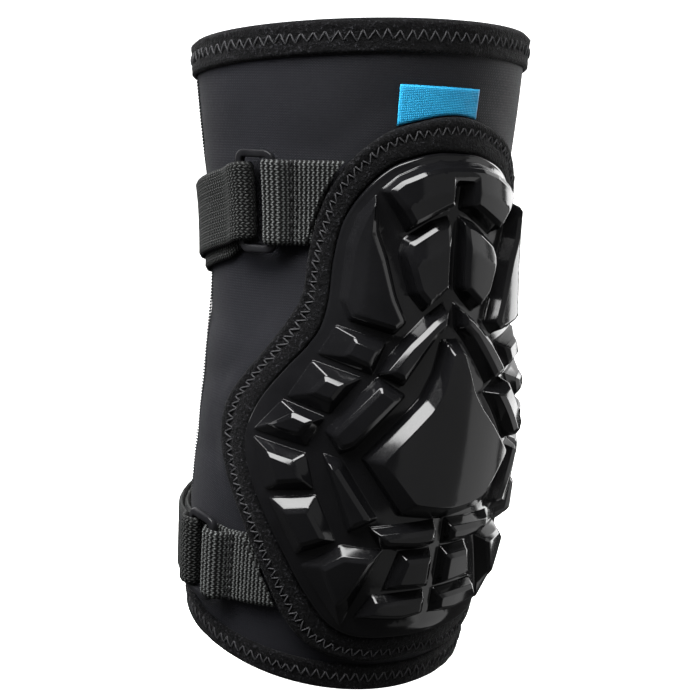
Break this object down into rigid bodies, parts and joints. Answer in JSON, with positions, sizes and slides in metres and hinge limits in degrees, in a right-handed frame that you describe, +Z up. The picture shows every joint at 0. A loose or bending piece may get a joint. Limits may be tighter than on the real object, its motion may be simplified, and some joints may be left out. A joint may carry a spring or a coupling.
{
  "type": "elbow guard",
  "caption": "Bent elbow sleeve of stretch fabric with a raised-block strike shell on its front, a sewn padded border round the shell, and webbing straps that close through loops.",
  "frame": {"origin": "centre of the sleeve's bore at elbow height", "axes": "+Z runs up the upper arm and out of the upper rim, -Y points out of the middle of the strike shell (the front), and the loops are on the -X side. Below the elbow the sleeve leans back to +Y and a little to +X."},
  "size_m": [0.1082, 0.1179, 0.2088],
  "materials": {
    "neoprene": "matte stretch knit over foam",
    "binding": "matte knit binding, zigzag stitched",
    "webbing": "ribbed woven webbing",
    "shell": "high gloss moulded",
    "loop": "semi-gloss moulded",
    "label": "woven patch, bare"
  },
  "bodies": {
    "root": {"sleeve": "neoprene", "top_hem": "binding", "bottom_hem": "binding", "pad_border": "binding", "impact_shell": "shell", "upper_tab": "webbing", "upper_ring": "loop", "upper_strap": "webbing", "lower_tab": "webbing", "lower_ring": "loop", "lower_strap": "webbing", "label": "label"}
  },
  "joints": []
}
